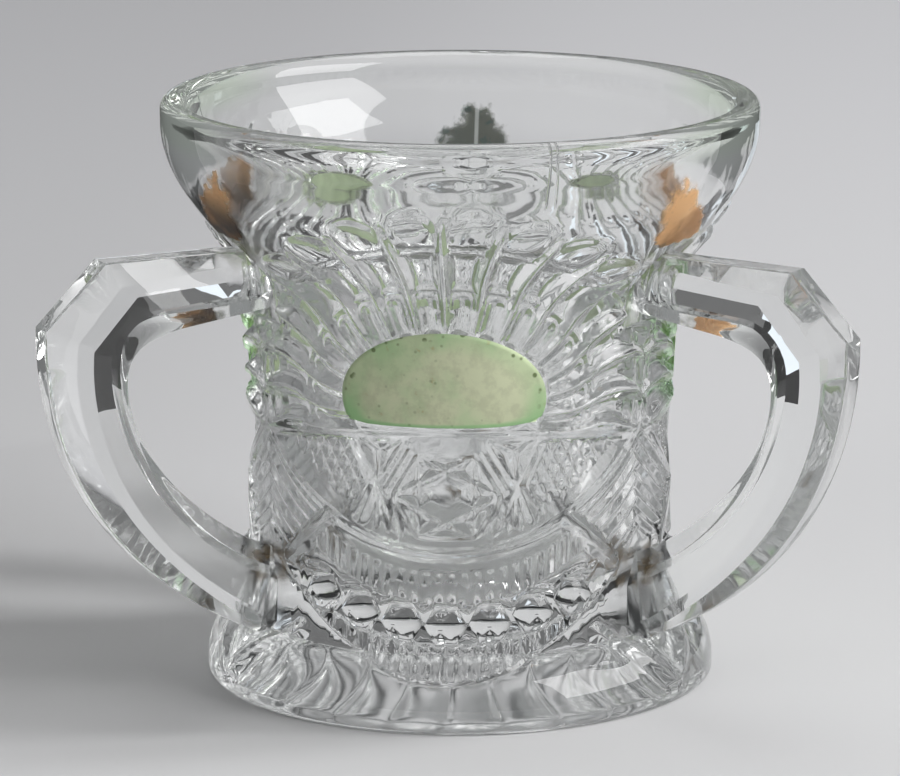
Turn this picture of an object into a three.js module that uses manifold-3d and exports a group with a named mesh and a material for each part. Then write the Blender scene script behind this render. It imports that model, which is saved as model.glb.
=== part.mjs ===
// Pressed glass toothpick holder: a loving cup with three handles and three rising suns.
// Millimetres, +Z up. The origin is the centre of the resting face and one sun faces -Y.

import * as THREE from "three";
import { mergeVertices } from "three/addons/utils/BufferGeometryUtils.js";
import Module from "manifold-3d";

const wasm = await Module();
wasm.setup();

// Order of the pattern round the axis
const panelCount = 3;
const facetsPerPanel = 16;

// Foot
const footRadius = 26.2;
const footEdgeHeight = 1.4;
const footHeight = 7;

// Cup outside
const neckRadius = 22.2;
const waistRadius = 21.2;
const shoulderHeight = 42.3;
const flareJointRise = 4.3;

// Flared rim
const overallHeight = 60;
const rimRadius = 30.5;
const flareLowSwell = 1.3;
const flareLowRise = 3.7;
const flareHighRise = 8.2;
const lipDepth = 2.4;
const lipOuterRound = 1.1;
const lipInnerRound = 1.6;
const lipWidth = 3.1;

// Cup inside
const floorHeight = 11;
const cupFloorRadius = 16.2;
const cupMouthRadius = 18.8;
const cupCornerRadius = 4.5;
const cupMouthDrop = 0.9;

// Handles
const handleTopClearance = 0.3;
const handleReach = 46.5;
const cornerSetBack = 6.5;
const cornerDrop = 6;
const sideBow = 0.3;
const bellySetBack = 4.6;
const bellyRise = 8.3;
const handleRootHeight = 7.1;
const handleRootRadius = 24.4;
const handleThickness = 6.4;
const handleEdgeWidth = 2.8;
const handleFacetWidth = 4.6;
const topArmDepth = 7.2;
const sideArmWidth = 9.6;
const lowArmDepth = 9.8;
const openingRound = 4.4;
const openingTopRun = 2;

// Rising sun relief
const horizonHeight = 30;
const sunRise = 4;
const sunHalfWidth = 10.3;
const sunHalfHeight = 6.1;
const sunRelief = 0.5;
const rayCount = 11;
const raySpacing = Math.PI / 12;
const rayStart = 0.8;
const rayLength = 13;
const rayWidth = 1.3;
const rayRelief = 0.8;

// Horizon, crescent and apron ridges
const horizonHalfWidth = 18;
const horizonWidth = 1.6;
const crescentDip = 12.2;
const crescentHalfWidth = 17.6;
const apronHalfWidth = 16.4;
const apronTop = 25.4;
const apronFootClear = 1.6;
const ridgeWidth = 1.4;
const ridgeRelief = 0.7;

// Hexagon and jewels
const hexagonHeight = 23.6;
const hexagonRadius = 5.7;
const jewelCount = 9;
const jewelHeight = 10.6;
const jewelPitch = 2.5;
const jewelRise = 0.11;
const jewelRadius = 1.15;
const jewelRelief = 0.8;

// Point on the foot beneath each handle
const footPointSpread = 0.3;
const footPointTop = 6.2;
const footPointBottom = 2.2;

// Stained suns and worn gilding over the handle roots
const stainFilm = 0.25;
const stainMargin = 0.25;
const giltHalfAngle = 0.15;
const giltLift = 2.1;
const giltDepth = 7.6;

// Clearances
const seatGap = 0.25;
const filmGap = 0.05;
const sink = 1;

const bodyHeight = shoulderHeight + flareJointRise;
const handleTopHeight = bodyHeight - handleTopClearance;
const sunHeight = horizonHeight + sunRise;
const giltBottom = handleTopHeight + giltLift;
const giltTop = giltBottom + giltDepth;
const panelAngle = 2 * Math.PI / panelCount;
const segments = panelCount * facetsPerPanel;
const bendSteps = 3;
const sweepSteps = 7;

// Outside profile as [radius, height] points from the table to the top of the lip

function footOutside() {
  const edge = new THREE.Vector2(footRadius, 0);
  const shoulder = new THREE.EllipseCurve(
    neckRadius, footEdgeHeight, footRadius - neckRadius, footHeight - footEdgeHeight, 0, Math.PI / 2);
  return [edge, ...shoulder.getPoints(bendSteps + 1)];
}

function bodyOutside() {
  const foot = new THREE.Vector2(neckRadius, footHeight);
  const shoulder = new THREE.Vector2(neckRadius, shoulderHeight);
  const waist = new THREE.Vector2(2 * waistRadius - neckRadius, (footHeight + shoulderHeight) / 2);
  return new THREE.QuadraticBezierCurve(foot, waist, shoulder).getPoints(bendSteps + 1);
}

function flareOutside() {
  const swell = new THREE.Vector2(neckRadius + flareLowSwell, shoulderHeight + flareLowRise);
  const brow = new THREE.Vector2(rimRadius, shoulderHeight + flareHighRise);
  return new THREE.CubicBezierCurve(
    new THREE.Vector2(neckRadius, shoulderHeight), swell, brow,
    new THREE.Vector2(rimRadius, overallHeight - lipDepth)).getPoints(sweepSteps);
}

const outside = [...footOutside(), ...bodyOutside().slice(1), ...flareOutside().slice(1)];

function radiusOn(points, height) {
  for (let i = 1; i < points.length; i += 1) {
    const low = points[i - 1];
    const high = points[i];
    if (height <= high.y && high.y > low.y) {
      return low.x + (high.x - low.x) * (height - low.y) / (high.y - low.y);
    }
  }
  return points[points.length - 1].x;
}

function slopeAt(height) {
  const reach = 0.5;
  return (radiusOn(outside, height + reach) - radiusOn(outside, height - reach)) / (2 * reach);
}

// Height reached by climbing a given length up the outside from the centre of the sun
function heightAfterClimb(climb) {
  const step = 0.25;
  let height = sunHeight;
  for (let left = climb; left > 0; left -= step) {
    height += Math.min(step, left) / Math.hypot(1, slopeAt(height));
  }
  return height;
}

function outsideBetween(low, high, offset) {
  const inner = outside.filter((point) => point.y > low && point.y < high);
  const ends = [low, high].map((height) => new THREE.Vector2(radiusOn(outside, height), height));
  return [ends[0], ...inner, ends[1]].map((point) => new THREE.Vector2(point.x + offset, point.y));
}

// Inside profile from the bottom of the cup to the lip

function cupInside() {
  const corner = new THREE.EllipseCurve(
    cupFloorRadius - cupCornerRadius, floorHeight + cupCornerRadius,
    cupCornerRadius, cupCornerRadius, -Math.PI / 2, 0).getPoints(bendSteps);
  const mouth = new THREE.Vector2(cupMouthRadius, shoulderHeight - cupMouthDrop);
  const lipInside = new THREE.Vector2(rimRadius - lipWidth, overallHeight - lipDepth + lipOuterRound / 2);
  const low = new THREE.Vector2(
    cupMouthRadius + flareLowSwell, shoulderHeight + flareLowRise + cupMouthDrop);
  const high = new THREE.Vector2(rimRadius - lipWidth, shoulderHeight + flareHighRise);
  const flare = new THREE.CubicBezierCurve(mouth, low, high, lipInside).getPoints(sweepSteps);
  return [new THREE.Vector2(0, floorHeight), ...corner, ...flare];
}

const inside = cupInside();

function lipTop() {
  const outer = new THREE.EllipseCurve(
    rimRadius - lipOuterRound, overallHeight - lipOuterRound,
    lipOuterRound, lipOuterRound, 0, Math.PI / 2).getPoints(bendSteps);
  const bottom = inside[inside.length - 1];
  const inner = new THREE.EllipseCurve(
    bottom.x + lipInnerRound, bottom.y, lipInnerRound, overallHeight - bottom.y,
    Math.PI / 2, Math.PI).getPoints(bendSteps);
  return [...outer, ...inner];
}

// Closed solids

function toManifold(geometry) {
  const bare = geometry.clone();
  bare.deleteAttribute("normal");
  bare.deleteAttribute("uv");
  const merged = mergeVertices(bare, 1e-4);
  return new wasm.Manifold(new wasm.Mesh({
    numProp: 3,
    vertProperties: Float32Array.from(merged.attributes.position.array),
    triVerts: Uint32Array.from(merged.index.array),
  }));
}

function toGeometry(solid) {
  const mesh = solid.getMesh();
  const geometry = new THREE.BufferGeometry();
  geometry.setAttribute("position", new THREE.BufferAttribute(mesh.vertProperties, 3));
  geometry.setIndex(new THREE.BufferAttribute(mesh.triVerts, 1));
  geometry.computeVertexNormals();
  return geometry;
}

function revolve(points) {
  return toManifold(new THREE.LatheGeometry(points, segments).rotateX(Math.PI / 2));
}

function shellOver(low, high, from, to) {
  const inner = outsideBetween(low, high, from);
  const outer = outsideBetween(low, high, to);
  return revolve([...outer, ...inner.reverse(), outer[0]]);
}

// Outside surface: angle runs round the axis from the middle of the front panel

function surfacePoint(angle, height, lift) {
  const slope = slopeAt(height);
  const tilt = Math.hypot(1, slope);
  const radius = radiusOn(outside, height) + lift / tilt;
  return new THREE.Vector3(
    radius * Math.sin(angle), -radius * Math.cos(angle), height - lift * slope / tilt);
}

// A ridge with a triangular section that follows [angle, height] stations on the surface
function ridge(stations, width, relief) {
  const middles = stations.map(([angle, height]) => surfacePoint(angle, height, -sink));
  const crests = stations.map(([angle, height]) => surfacePoint(angle, height, relief));
  const positions = [];
  const half = width / 2 * (1 + sink / relief);
  middles.forEach((middle, i) => {
    const before = middles[Math.max(i - 1, 0)];
    const after = middles[Math.min(i + 1, middles.length - 1)];
    const along = after.clone().sub(before);
    const outward = crests[i].clone().sub(middle);
    const side = along.cross(outward).setLength(half);
    const left = middle.clone().sub(side);
    const right = middle.clone().add(side);
    positions.push(...left.toArray(), ...right.toArray(), ...crests[i].toArray());
  });
  const indices = [0, 1, 2];
  for (let i = 0; i < stations.length - 1; i += 1) {
    for (let side = 0; side < 3; side += 1) {
      const a = 3 * i + side;
      const b = 3 * i + (side + 1) % 3;
      indices.push(a, a + 3, b, b, a + 3, b + 3);
    }
  }
  const last = positions.length / 3 - 3;
  indices.push(last, last + 2, last + 1);
  const geometry = new THREE.BufferGeometry();
  geometry.setAttribute("position", new THREE.Float32BufferAttribute(positions, 3));
  geometry.setIndex(indices);
  return geometry;
}

function alongSurface(steps, place) {
  return Array.from({ length: steps + 1 }, (unused, i) => place(i / steps));
}

// A ray runs outward from the rim of the sun at one turn of its ellipse
function ray(turn) {
  const stations = alongSurface(3, (share) => {
    const reach = rayStart + rayLength * share;
    const height = heightAfterClimb((sunHalfHeight + reach) * Math.sin(turn));
    const across = (sunHalfWidth + reach) * Math.cos(turn);
    return [across / radiusOn(outside, height), height];
  });
  return ridge(stations, rayWidth, rayRelief);
}

function rays() {
  const first = Math.PI / 2 - raySpacing * (rayCount - 1) / 2;
  return Array.from({ length: rayCount }, (unused, i) => ray(first + i * raySpacing));
}

function arcRidge(halfWidth, topHeight, dip, width) {
  const stations = alongSurface(12, (share) => {
    const turn = Math.PI * (share - 0.5);
    return [halfWidth * Math.sin(turn) / waistRadius, topHeight - dip * Math.cos(turn)];
  });
  return ridge(stations, width, ridgeRelief);
}

function horizon() {
  const half = horizonHalfWidth / waistRadius;
  const stations = alongSurface(12, (share) => [half * (2 * share - 1), horizonHeight]);
  return ridge(stations, horizonWidth, ridgeRelief);
}

function hexagonSides() {
  const corner = (index) => {
    const turn = index * Math.PI / 3;
    return [hexagonRadius * Math.cos(turn) / waistRadius, hexagonHeight + hexagonRadius * Math.sin(turn)];
  };
  const side = (index) => ridge([corner(index), corner(index + 1)], ridgeWidth, ridgeRelief);
  return Array.from({ length: 6 }, (unused, i) => side(i));
}

function jewel(place) {
  const angle = place * jewelPitch / waistRadius;
  const height = jewelHeight + jewelRise * place * place;
  const base = surfacePoint(angle, height, -sink);
  const bead = new THREE.CylinderGeometry(jewelRadius / 2, jewelRadius, sink + jewelRelief, 6);
  bead.translate(0, (sink + jewelRelief) / 2, 0);
  bead.rotateX(Math.PI);
  bead.rotateZ(angle);
  return bead.translate(base.x, base.y, base.z);
}

function jewels() {
  return Array.from({ length: jewelCount }, (unused, i) => jewel(i - (jewelCount - 1) / 2));
}

// The outline of a sun, flat, looking at the panel from the front
function sunPrism(margin) {
  const shape = new THREE.Shape();
  const level = -Math.asin(sunRise / sunHalfHeight);
  shape.absellipse(
    0, sunHeight, sunHalfWidth - margin, sunHalfHeight - margin, level, Math.PI - level, false);
  const settings = { depth: rimRadius, bevelEnabled: false, curveSegments: 16 };
  const prism = new THREE.ExtrudeGeometry(shape, settings);
  return toManifold(prism.rotateX(Math.PI / 2));
}

function joinAll(solids) {
  return solids.reduce((joined, solid) => joined.add(solid));
}

function turned(geometry, panel) {
  return toManifold(geometry.clone().rotateZ(panel * panelAngle));
}

// A plain strip stays free of relief behind each handle
function handleLand() {
  const width = handleThickness + 2 * seatGap;
  const land = new THREE.BoxGeometry(width, handleReach, 2 * overallHeight);
  return land.translate(0, -handleReach / 2, 0).rotateZ(panelAngle / 2);
}

function roundPanels(geometries) {
  const panels = Array.from({ length: panelCount }, (unused, panel) => panel);
  return joinAll(panels.flatMap((panel) => geometries.map((geometry) => turned(geometry, panel))));
}

function sunBoss() {
  const low = horizonHeight - sink;
  const high = sunHeight + sunHalfHeight + sink;
  return toGeometry(sunPrism(0).intersect(shellOver(low, high, -sink, sunRelief)));
}

function panelRelief() {
  const crescent = arcRidge(crescentHalfWidth, horizonHeight, crescentDip, ridgeWidth);
  const apronDip = apronTop - footHeight - apronFootClear;
  const apron = arcRidge(apronHalfWidth, apronTop, apronDip, ridgeWidth);
  return [sunBoss(), ...rays(), horizon(), crescent, apron, ...hexagonSides(), ...jewels()];
}

// Regions of the pressing

const relief = roundPanels(panelRelief()).subtract(roundPanels([handleLand()]));

function bodyBlank() {
  const outer = outsideBetween(footHeight, bodyHeight, 0);
  const cup = inside.filter((point) => point.y < bodyHeight);
  const mouth = new THREE.Vector2(radiusOn(inside, bodyHeight), bodyHeight);
  return revolve([new THREE.Vector2(0, footHeight), ...outer, mouth, ...cup.reverse()]);
}

function rimBlank() {
  const outer = outsideBetween(bodyHeight, overallHeight - lipDepth, 0);
  const cup = inside.filter((point) => point.y > bodyHeight).reverse();
  const mouth = new THREE.Vector2(radiusOn(inside, bodyHeight), bodyHeight);
  return revolve([...outer, ...lipTop(), ...cup.slice(1), mouth, outer[0]]);
}

function slab(low, high) {
  const reach = 2 * handleReach;
  const box = new THREE.BoxGeometry(reach, reach, high - low);
  return toManifold(box.translate(0, 0, (low + high) / 2));
}

function cupBody() {
  return bodyBlank().add(relief.intersect(slab(footHeight, bodyHeight)));
}

function flaredRim() {
  return rimBlank().add(relief.intersect(slab(bodyHeight, overallHeight)));
}

// Two ridges that run down the foot and meet in a point beneath a handle
function footPoints() {
  const underHandle = panelAngle / 2;
  const side = (turn) => ridge(alongSurface(3, (share) => [
    underHandle + turn * footPointSpread * (1 - share),
    footPointTop + (footPointBottom - footPointTop) * share,
  ]), ridgeWidth, ridgeRelief);
  return roundPanels([side(-1), side(1)]);
}

function foot() {
  const blank = revolve([new THREE.Vector2(0, 0), ...outsideBetween(0, footHeight, 0),
    new THREE.Vector2(0, footHeight)]);
  return joinAll([blank, footPoints().intersect(slab(0, footHeight)),
    relief.intersect(slab(0, footHeight))]);
}

// Handles, drawn with the radius along +X and the height along +Y

function handleOutline() {
  const rootInside = handleRootRadius - 2 * handleFacetWidth;
  const outline = new THREE.Shape();
  outline.moveTo(rootInside, handleTopHeight);
  outline.lineTo(handleReach - cornerSetBack, handleTopHeight);
  outline.lineTo(handleReach, handleTopHeight - cornerDrop);
  const cornerHeight = handleTopHeight - cornerDrop;
  const sideFall = (cornerHeight - handleRootHeight) / 3;
  outline.bezierCurveTo(
    handleReach + sideBow, cornerHeight - sideFall,
    handleReach - bellySetBack, handleRootHeight + bellyRise,
    handleRootRadius, handleRootHeight);
  outline.lineTo(rootInside, handleRootHeight - sink);
  return outline;
}

function handleOpening() {
  const top = handleTopHeight - topArmDepth;
  const side = handleReach - sideArmWidth;
  const bottom = handleRootHeight + lowArmDepth;
  const rootInside = handleRootRadius - handleFacetWidth;
  const middle = (top + bottom) / 2;
  const opening = new THREE.Shape();
  opening.moveTo(rootInside, top);
  opening.lineTo(handleRootRadius + openingTopRun, top);
  opening.bezierCurveTo(side - openingRound, top, side, top, side, top - openingRound);
  opening.bezierCurveTo(
    side, middle, side - openingRound, bottom + openingRound, handleRootRadius, bottom);
  opening.lineTo(rootInside, bottom - (handleRootRadius - rootInside) / 2);
  return opening;
}

function extrudeUpright(shape, depth, settings) {
  const geometry = new THREE.ExtrudeGeometry(shape, { depth, curveSegments: 9, ...settings });
  return geometry.translate(0, 0, -depth / 2).rotateX(Math.PI / 2);
}

function handle() {
  const blank = extrudeUpright(handleOutline(), handleEdgeWidth, {
    bevelThickness: (handleThickness - handleEdgeWidth) / 2,
    bevelSize: handleFacetWidth,
    bevelOffset: -handleFacetWidth,
    bevelSegments: 1,
  });
  const opening = extrudeUpright(handleOpening(), 2 * handleThickness, { bevelEnabled: false });
  return toManifold(blank).subtract(toManifold(opening));
}

// The whole outside, a seat gap larger, trims the roots of the handles
function seatEnvelope() {
  const grown = outsideBetween(0, overallHeight - lipDepth, seatGap);
  return revolve([new THREE.Vector2(0, -seatGap), new THREE.Vector2(grown[0].x, -seatGap),
    ...grown, new THREE.Vector2(0, overallHeight)]);
}

function seatedHandle() {
  return handle().subtract(seatEnvelope());
}

// Stain on a sun and worn gilding over a handle root: thin films lying on the glass

function sunStain() {
  const low = horizonHeight - sink;
  const high = sunHeight + sunHalfHeight + sink;
  const from = sunRelief + filmGap;
  return sunPrism(stainMargin).intersect(shellOver(low, high, from, from + stainFilm));
}

function giltPatch() {
  const halfWidth = rimRadius * giltHalfAngle;
  const patch = new THREE.Shape();
  const cornerRound = halfWidth / 2;
  patch.moveTo(-halfWidth, giltBottom);
  patch.lineTo(halfWidth, giltBottom);
  patch.lineTo(halfWidth, giltTop - cornerRound);
  patch.quadraticCurveTo(halfWidth, giltTop, halfWidth - cornerRound, giltTop);
  patch.lineTo(cornerRound - halfWidth, giltTop);
  patch.quadraticCurveTo(-halfWidth, giltTop, -halfWidth, giltTop - cornerRound);
  const prism = new THREE.ExtrudeGeometry(patch, { depth: 2 * rimRadius, bevelEnabled: false });
  const film = shellOver(giltBottom - sink, giltTop + sink, filmGap, filmGap + stainFilm);
  return toManifold(prism.rotateX(Math.PI / 2)).intersect(film);
}

const glass = { color: 0xdfe6e2, roughness: 0.04, metalness: 0 };
const stain = { color: 0xa9b78f, roughness: 0.6, metalness: 0 };
const gilt = { color: 0xb98545, roughness: 0.35, metalness: 0.6 };

const holder = new THREE.Group();

function addPiece(name, solid, finish, turn = 0) {
  const piece = new THREE.Mesh(toGeometry(solid), new THREE.MeshStandardMaterial(finish));
  piece.name = name;
  piece.rotation.z = turn;
  holder.add(piece);
}

addPiece("foot", foot(), glass);
addPiece("cup_body", cupBody(), glass);
addPiece("flared_rim", flaredRim(), glass);

// The handles stand halfway between the suns; the drawn handle points along +X
const handleSolid = seatedHandle();
addPiece("handle_right", handleSolid, glass, panelAngle / 2 - Math.PI / 2);
addPiece("handle_back", handleSolid, glass, panelAngle * 1.5 - Math.PI / 2);
addPiece("handle_left", handleSolid, glass, panelAngle * 2.5 - Math.PI / 2);

const stainSolid = sunStain();
addPiece("sun_stain_front", stainSolid, stain);
addPiece("sun_stain_right", stainSolid, stain, panelAngle);
addPiece("sun_stain_left", stainSolid, stain, 2 * panelAngle);

const giltSolid = giltPatch();
addPiece("gilt_right", giltSolid, gilt, panelAngle / 2);
addPiece("gilt_back", giltSolid, gilt, panelAngle * 1.5);
addPiece("gilt_left", giltSolid, gilt, panelAngle * 2.5);

export default holder;
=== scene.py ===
import math

import bmesh
import bpy
import numpy as np
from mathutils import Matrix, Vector


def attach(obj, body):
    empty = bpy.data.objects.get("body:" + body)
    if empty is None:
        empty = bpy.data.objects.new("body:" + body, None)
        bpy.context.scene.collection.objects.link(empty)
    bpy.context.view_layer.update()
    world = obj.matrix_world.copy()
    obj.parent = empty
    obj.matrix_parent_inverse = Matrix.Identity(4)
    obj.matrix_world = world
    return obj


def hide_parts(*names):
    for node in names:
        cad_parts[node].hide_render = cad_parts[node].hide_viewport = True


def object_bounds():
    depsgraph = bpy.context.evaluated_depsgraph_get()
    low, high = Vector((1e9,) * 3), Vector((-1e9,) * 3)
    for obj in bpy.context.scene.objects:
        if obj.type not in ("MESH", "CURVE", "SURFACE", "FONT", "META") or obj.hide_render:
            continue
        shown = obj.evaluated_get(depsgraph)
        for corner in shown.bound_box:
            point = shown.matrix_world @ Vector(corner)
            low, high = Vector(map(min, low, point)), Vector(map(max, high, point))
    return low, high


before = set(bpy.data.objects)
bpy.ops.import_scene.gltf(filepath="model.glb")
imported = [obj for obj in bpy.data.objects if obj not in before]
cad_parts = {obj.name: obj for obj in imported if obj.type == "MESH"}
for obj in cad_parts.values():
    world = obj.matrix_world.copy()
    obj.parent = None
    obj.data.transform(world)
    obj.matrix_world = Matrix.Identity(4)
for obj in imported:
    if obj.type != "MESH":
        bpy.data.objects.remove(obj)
cadBox = [list(corner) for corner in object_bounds()]
print("frame loaded")

mm = 0.001
weld = 1e-6      # metres within which points become one

# The view: the front sun faces -Y, and the camera stands a little to its right
view = {
    "turn": 3.7,         # degrees round the axis
    "distance": 493.7,   # mm from the axis
    "height": 141.8,
    "tilt": 12.82,       # degrees downwards
    "aside": 0.12,       # degrees to the left of the axis
    "lens": 196.8,
    "nearest": 10.0,
}


def linked(name, data):
    thing = bpy.data.objects.new(name, data)
    bpy.context.scene.collection.objects.link(thing)
    return thing


def makeCamera():
    turn = math.radians(view["turn"])
    lens = bpy.data.cameras.new("camera")
    lens.lens = view["lens"]
    lens.clip_start = view["nearest"] * mm
    camera = linked("camera", lens)
    camera.location = Vector((
        view["distance"] * math.sin(turn), -view["distance"] * math.cos(turn), view["height"])) * mm
    camera.rotation_euler = (
        math.radians(90 - view["tilt"]), 0, turn + math.radians(view["aside"]))
    bpy.context.scene.camera = camera


makeCamera()
bpy.context.scene.view_settings.view_transform = "Standard"

# Small helpers for node trees


def mathsNode(operation, turned=False):
    # an operator of a wire: one Math node, with its two values turned round where asked
    def apply(self, other=0.0):
        values = (other, self) if turned else (self, other)
        return self.board.add("ShaderNodeMath", {"operation": operation}, dict(enumerate(values)))
    return apply


class Wire:
    # one socket, so that node maths reads as plain expressions
    def __init__(self, board, socket):
        self.board = board
        self.socket = socket

    __add__ = __radd__ = mathsNode("ADD")
    __sub__ = mathsNode("SUBTRACT")
    __rsub__ = mathsNode("SUBTRACT", turned=True)
    __mul__ = __rmul__ = mathsNode("MULTIPLY")
    __truediv__ = mathsNode("DIVIDE")
    __rtruediv__ = mathsNode("DIVIDE", turned=True)
    power = mathsNode("POWER")
    least = mathsNode("MINIMUM")
    most = mathsNode("MAXIMUM")
    above = mathsNode("GREATER_THAN")
    turnFrom = mathsNode("ARCTAN2")
    sine = mathsNode("SINE")
    cosine = mathsNode("COSINE")
    size = mathsNode("ABSOLUTE")
    rounded = mathsNode("ROUND")
    floor = mathsNode("FLOOR")

    def ramp(self, low, high):
        # 0 below low, 1 above high, smooth between them
        return self.board.add("ShaderNodeMapRange", {"interpolation_type": "SMOOTHSTEP"}, {
            "Value": self, "From Min": low, "From Max": high})


class Board:
    # a node tree that takes a node's kind, its settings and what its sockets hold
    def __init__(self, tree):
        self.tree = tree
        tree.nodes.clear()

    def add(self, kind, settings=None, sockets=None, out=0):
        # out names the output wanted, or "all" for each of them; a colour is given without its alpha
        node = self.tree.nodes.new(kind)
        for name, value in (settings or {}).items():
            setattr(node, name, value)
        for name, value in (sockets or {}).items():
            target = node.inputs[name]
            if isinstance(value, Wire):
                self.tree.links.new(value.socket, target)
            else:
                target.default_value = (*value, 1) if target.type == "RGBA" else value
        if out == "all":
            return [Wire(self, socket) for socket in node.outputs]
        return Wire(self, node.outputs[out]) if node.outputs else None

    def places(self, source="Object", unit=mm):
        # the coordinates as they are, and x, y and z in this unit
        place = self.add("ShaderNodeTexCoord", out=source)
        parts = self.add("ShaderNodeSeparateXYZ", {}, {0: place}, out="all")
        return place, *[part / unit for part in parts]

    def attribute(self, name):
        return self.add("ShaderNodeAttribute", {"attribute_name": name}, out="Fac")

    def noise(self, place, scale, detail, roughness=0.5):
        return self.add("ShaderNodeTexNoise", {}, {
            "Vector": place, "Scale": scale, "Detail": detail, "Roughness": roughness})

    def noises(self, place, settings):
        # one for each entry, which holds its scale, its detail and, where it isn't 0.5, its roughness
        return [self.noise(place, *values) for values in settings.values()]

    def specks(self, place, scale, low, high):
        # 1 in the middle of each cell, fading out between these distances
        cells = self.add("ShaderNodeTexVoronoi", {}, {"Vector": place, "Scale": scale})
        return 1 - cells.ramp(low, high)

    def bump(self, height, strength, depth, **under):
        return self.add("ShaderNodeBump", {}, {
            "Height": height, "Strength": strength, "Distance": depth, **under})

    def mixColours(self, share, first, second, blend="MIX"):
        # a Mix node's colour sockets are 6 and 7, and its colour result is 2
        return self.add("ShaderNodeMix", {"data_type": "RGBA", "blend_type": blend}, {
            0: share, 6: first, 7: second}, out=2)

    def layers(self, colour, *more):
        # colours laid over the first, each with its share
        for share, above in more:
            colour = self.mixColours(share, colour, above)
        return colour

    def mixShaders(self, share, first, second):
        return self.add("ShaderNodeMixShader", {}, {0: share, 1: first, 2: second})

    def surface(self, colour, roughness, **more):
        sockets = {name.replace("_", " "): value for name, value in more.items()}
        return self.add("ShaderNodeBsdfPrincipled", {}, {
            "Base Color": colour, "Roughness": roughness, **sockets})

    def light(self, colour, strength):
        return self.add("ShaderNodeEmission", {}, {"Color": colour, "Strength": strength})

    def close(self, shader):
        self.add("ShaderNodeOutputMaterial", {}, {"Surface": shader})


def newMaterial(name):
    material = bpy.data.materials.new(name)
    material.use_nodes = True
    return material, Board(material.node_tree)


def newTree(name, values):
    # a Geometry Nodes tree with a named input for each value
    tree = bpy.data.node_groups.new(name, "GeometryNodeTree")
    board = Board(tree)
    tree.interface.new_socket("Geometry", in_out="INPUT", socket_type="NodeSocketGeometry")
    for inputName, value in values.items():
        kind = "NodeSocketInt" if isinstance(value, int) else "NodeSocketFloat"
        socket = tree.interface.new_socket(inputName, in_out="INPUT", socket_type=kind)
        socket.default_value = value
    tree.interface.new_socket("Geometry", in_out="OUTPUT", socket_type="NodeSocketGeometry")
    given = {wire.socket.name: wire for wire in board.add("NodeGroupInput", out="all")}
    return tree, board, given


def closeTree(board, geometry, material):
    painted = board.add("GeometryNodeSetMaterial", {}, {"Geometry": geometry, "Material": material})
    board.add("NodeGroupOutput", {}, {"Geometry": painted})


def spots(board, count):
    # as many points as asked, all at the origin, and their numbers
    line = board.add("GeometryNodeMeshLine", {"mode": "OFFSET"}, {"Count": count, "Offset": (0, 0, 0)})
    return line, board.add("GeometryNodeInputIndex")


def copiesOn(board, points, piece, **more):
    copies = board.add("GeometryNodeInstanceOnPoints", {}, {"Points": points, "Instance": piece, **more})
    return board.add("GeometryNodeRealizeInstances", {}, {"Geometry": copies})


def welded(board, geometry, distance):
    return board.add("GeometryNodeMergeByDistance", {}, {"Geometry": geometry, "Distance": distance})


def turnedPlace(board, reach, turn, height):
    # a place round the axis, turned from -Y towards +X
    return board.add("ShaderNodeCombineXYZ", {}, {
        "X": reach * turn.sine(), "Y": 0 - reach * turn.cosine(), "Z": height})


def evaluated(piece, *tools):
    # the plain mesh that an object's modifiers make, after which the object and its tools go
    graph = bpy.context.evaluated_depsgraph_get()
    made = bpy.data.meshes.new_from_object(piece.evaluated_get(graph))
    for thing in (piece, *tools):
        bpy.data.objects.remove(thing)
    return made


def runTree(mesh, makeTree, values, *more):
    # the plain mesh that a tree with these values makes of a mesh
    tree = makeTree(values, *more)
    maker = linked(mesh.name, mesh)
    modifier = maker.modifiers.new("nodes", "NODES")
    modifier.node_group = tree
    for item in tree.interface.items_tree:
        if item.in_out == "INPUT" and item.name in values:
            modifier[item.identifier] = values[item.name]
    return evaluated(maker)


def meshFrom(name, points, faces):
    # points is an (n, 3) array in metres; faces are lists of point numbers
    mesh = bpy.data.meshes.new(name)
    loops = np.concatenate([np.asarray(face, np.int32).ravel() for face in faces])
    sizes = np.concatenate([np.full(len(face), np.asarray(face).shape[1]) for face in faces])
    mesh.vertices.add(len(points))
    mesh.vertices.foreach_set("co", np.asarray(points, np.float32).ravel())
    mesh.loops.add(len(loops))
    mesh.loops.foreach_set("vertex_index", loops)
    mesh.polygons.add(len(sizes))
    starts = np.concatenate([[0], np.cumsum(sizes)[:-1]])
    mesh.polygons.foreach_set("loop_start", starts.astype(np.int32))
    mesh.update(calc_edges=True)
    mesh.validate()
    return mesh


def ringFaces(rings, around):
    # quads between rings of points that each close on themselves
    i = np.arange(rings - 1)[:, None] * around
    k = np.arange(around)[None, :]
    following = (k + 1) % around
    return np.stack([i + k, i + following, i + around + following, i + around + k], 2).reshape(-1, 4)


def writeValues(mesh, name, values):
    layer = mesh.attributes.new(name, "FLOAT", "POINT")
    layer.data.foreach_set("value", np.asarray(values, np.float32))


def readValues(items, name, kind=np.float32, width=1):
    values = np.zeros(len(items) * width, kind)
    items.foreach_get(name, values)
    return values.reshape(-1, width) if width > 1 else values


def addPiece(name, mesh, slot, *nodes):
    piece = linked(name, mesh)
    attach(piece, "root")
    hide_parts(*nodes)
    return piece


# Materials

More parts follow.
